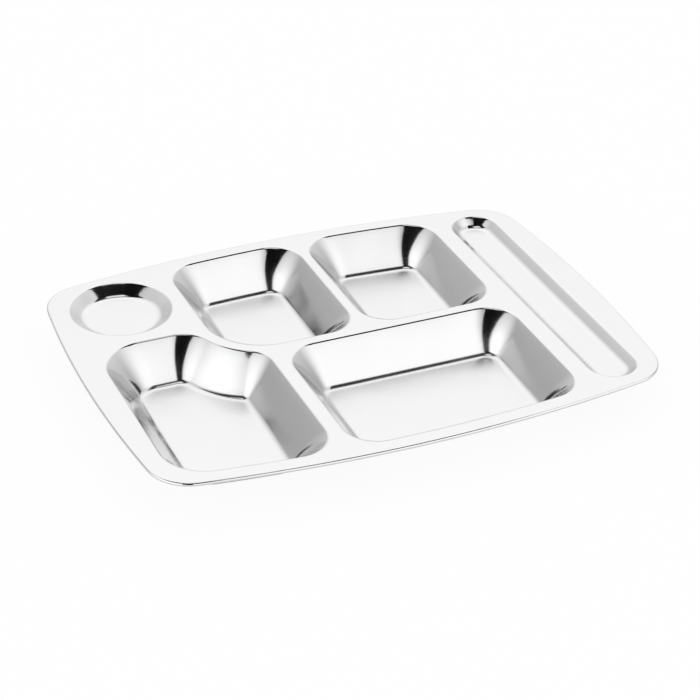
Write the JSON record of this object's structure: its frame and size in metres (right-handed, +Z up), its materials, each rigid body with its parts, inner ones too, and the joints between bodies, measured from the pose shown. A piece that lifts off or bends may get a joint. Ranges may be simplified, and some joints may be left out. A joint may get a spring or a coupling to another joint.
{
  "type": "compartment serving tray",
  "caption": "Flat stainless steel serving tray with a rolled rim, deep food pans, a shallow round dish and a long shallow cutlery trough, pressed into one sheet.",
  "frame": {"origin": "centre of the tray's outline, at the level of the pans' undersides, which it stands on", "axes": "+X along the long sides to the end with the cutlery trough, +Y to the back edge beside the round dish, +Z up out of the compartments"},
  "size_m": [0.4, 0.3, 0.0276],
  "materials": {
    "stainless_steel": "semi-polished satin stainless sheet"
  },
  "bodies": {
    "root": {"deck_web": "stainless_steel", "rolled_rim": "stainless_steel", "round_dish": "stainless_steel", "rear_left_pan": "stainless_steel", "rear_right_pan": "stainless_steel", "front_left_pan": "stainless_steel", "front_right_pan": "stainless_steel", "cutlery_trough": "stainless_steel"}
  },
  "joints": []
}
